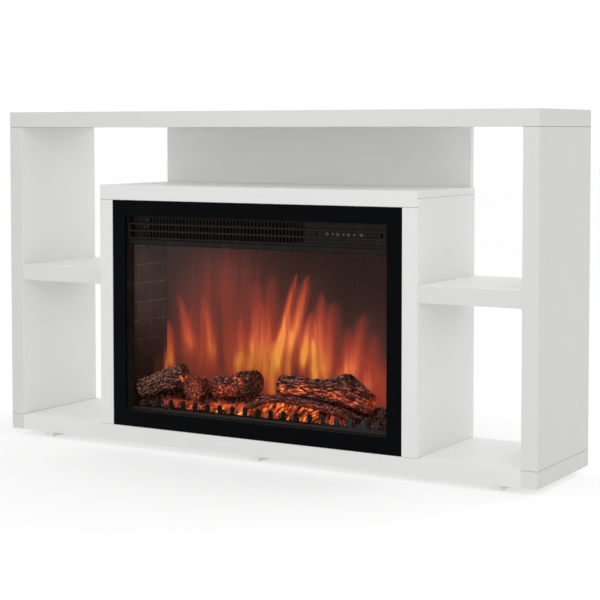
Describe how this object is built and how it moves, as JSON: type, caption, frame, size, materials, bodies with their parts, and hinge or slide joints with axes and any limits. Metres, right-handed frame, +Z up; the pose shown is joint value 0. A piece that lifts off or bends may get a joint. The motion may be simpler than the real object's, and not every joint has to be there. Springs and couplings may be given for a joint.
{
  "type": "electric fireplace",
  "caption": "Electric fireplace heater with a flame picture and logs behind glass, built into a wide open white television console on foot rails.",
  "frame": {"origin": "middle of the footprint, on the floor under the foot rails", "axes": "+X to the right as seen from the front, along the length; -Y is the front; +Z up"},
  "size_m": [1.4, 0.29, 0.8],
  "materials": {
    "white_board": "satin white melamine on chipboard",
    "fastener_steel": "zinc plated",
    "black_trim": "satin black powder coat",
    "black_plastic": "fine moulded texture",
    "button_plastic": "gloss moulded plastic",
    "dark_lens": "dark smoked lens",
    "window_glass": "clear tempered glass",
    "brick_panel": "dark printed brick",
    "charred_resin": "painted resin, charred bark",
    "ember_resin": "translucent orange resin under dark paint",
    "grate_iron": "dark cast look",
    "flame_screen": "diffusing screen",
    "housing_steel": "grey galvanised and painted sheet",
    "flag_foil": "bright foil",
    "impeller_aluminium": "black anodised",
    "motor_paint": "varnished laminations",
    "bearing_plastic": "natural nylon",
    "circuit_board": "green solder mask",
    "cable_jacket": "matt black jacket"
  },
  "bodies": {
    "console": {"top_board": "white_board", "bottom_board": "white_board", "left_side_panel": "white_board", "right_side_panel": "white_board", "left_shelf": "white_board", "right_shelf": "white_board", "left_divider": "white_board", "right_divider": "white_board", "left_stile": "white_board", "right_stile": "white_board", "mantel_rail": "white_board", "mantel_board": "white_board", "upper_back_panel": "white_board", "left_foot_rail": "white_board", "middle_foot_rail": "white_board", "right_foot_rail": "white_board", "bottom_screws": "fastener_steel", "cam_locks": "fastener_steel", "cover_screws": "fastener_steel", "trim_frame": "black_trim", "inner_fascia": "black_plastic", "louvre_frame": "black_plastic", "outlet_grille": "black_plastic", "control_panel": "black_plastic", "switch_body": "black_plastic", "cord_gland": "black_plastic", "panel_lenses": "dark_lens", "front_glass": "window_glass", "left_brick_panel": "brick_panel", "right_brick_panel": "brick_panel", "left_log": "charred_resin", "small_log": "charred_resin", "middle_log": "charred_resin", "right_log": "charred_resin", "end_log": "charred_resin", "front_branch": "charred_resin", "ember_bed": "ember_resin", "front_grate": "grate_iron", "flame_screen": "flame_screen", "housing_shell": "housing_steel", "top_cover": "housing_steel", "back_cover": "housing_steel", "firebox_ceiling": "housing_steel", "mounting_brackets": "housing_steel", "fan_scroll": "housing_steel", "flame_mask": "housing_steel", "heating_element": "impeller_aluminium", "fan_motor": "motor_paint", "flame_motor": "motor_paint", "rotor_bush": "bearing_plastic", "terminal_block": "bearing_plastic", "control_board": "circuit_board", "led_strips": "circuit_board", "internal_cable": "cable_jacket"},
    "flame_button": {"flame_button": "button_plastic"},
    "low_heat_button": {"low_heat_button": "button_plastic"},
    "high_heat_button": {"high_heat_button": "button_plastic"},
    "power_rocker": {"rocker_switch": "black_plastic"},
    "flame_rotor": {"flame_rotor": "flag_foil"},
    "fan_impeller": {"fan_impeller": "impeller_aluminium"}
  },
  "joints": [
    {"name": "flame_button_press", "type": "slide", "parent": "console", "child": "flame_button", "axis": [0, 1, 0], "range_m": [0, 0.0015], "stiffness_N_per_m": 300, "springref_m": -0.001},
    {"name": "low_heat_button_press", "type": "slide", "parent": "console", "child": "low_heat_button", "axis": [0, 1, 0], "range_m": [0, 0.0015], "stiffness_N_per_m": 300, "springref_m": -0.001},
    {"name": "high_heat_button_press", "type": "slide", "parent": "console", "child": "high_heat_button", "axis": [0, 1, 0], "range_m": [0, 0.0015], "stiffness_N_per_m": 300, "springref_m": -0.001},
    {"name": "power_rocker_tilt", "type": "hinge", "parent": "console", "child": "power_rocker", "pos_m": [0.308, -0.125, 0.52675], "axis": [0, 0, -1], "range_deg": [0, 14]},
    {"name": "flame_rotor_spin", "type": "hinge", "parent": "console", "child": "flame_rotor", "pos_m": [0, 0.047, 0.125], "axis": [1, 0, 0], "continuous": true},
    {"name": "fan_impeller_spin", "type": "hinge", "parent": "console", "child": "fan_impeller", "pos_m": [0, -0.037, 0.54], "axis": [1, 0, 0], "continuous": true}
  ]
}
